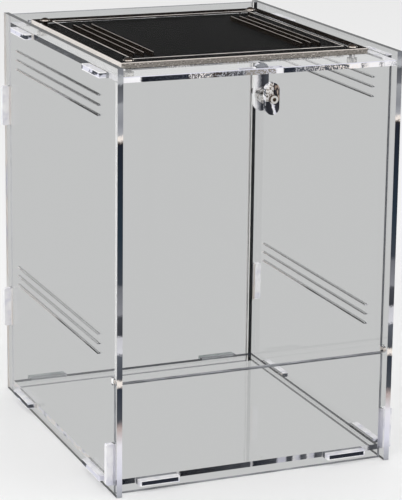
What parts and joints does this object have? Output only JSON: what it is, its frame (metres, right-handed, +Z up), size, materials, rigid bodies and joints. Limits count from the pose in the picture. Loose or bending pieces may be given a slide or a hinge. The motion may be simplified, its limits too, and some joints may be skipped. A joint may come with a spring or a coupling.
{
  "type": "reptile terrarium",
  "caption": "Clear upright terrarium of slotted plastic sheets, with a drop-down front door, a turning latch and a screwed vent cover over black mesh.",
  "frame": {"origin": "on the resting plane, below the middle of the whole part's bounding box, with the latch in front and the rear tabs behind counted in", "axes": "+Z up, -Y out of the front with the door and the latch, +X to the right of somebody who faces the door"},
  "size_m": [0.22, 0.268, 0.3004],
  "materials": {
    "case_acrylic": "clear polished faces with frosted laser-cut edges",
    "door_acrylic": "clear polished faces",
    "latch_acrylic": "clear polished faces with glossy edges",
    "black_mesh": "satin black coated wire mesh",
    "fastener_steel": "bright stainless",
    "spacer_chrome": "polished",
    "dark_nut": "gloss black"
  },
  "bodies": {
    "case": {"left_panel": "case_acrylic", "right_panel": "case_acrylic", "back_panel": "case_acrylic", "base_panel": "case_acrylic", "kick_panel": "case_acrylic", "top_panel": "case_acrylic", "mesh_screen": "black_mesh", "vent_cover": "case_acrylic", "cover_screws": "fastener_steel", "cover_nuts": "fastener_steel"},
    "door": {"door": "door_acrylic"},
    "latch": {"latch_catch": "latch_acrylic", "latch_spacer": "spacer_chrome", "latch_handle": "latch_acrylic", "latch_bolt": "fastener_steel", "latch_washer": "fastener_steel", "latch_nut": "dark_nut"}
  },
  "joints": [
    {"name": "door_hinge", "type": "hinge", "parent": "case", "child": "door", "pos_m": [0, -0.10695, 0.082], "axis": [1, 0, 0], "range_deg": [0, 105]},
    {"name": "latch_turn", "type": "hinge", "parent": "door", "child": "latch", "pos_m": [0, -0.10695, 0.276], "axis": [0, 1, 0], "continuous": true}
  ]
}
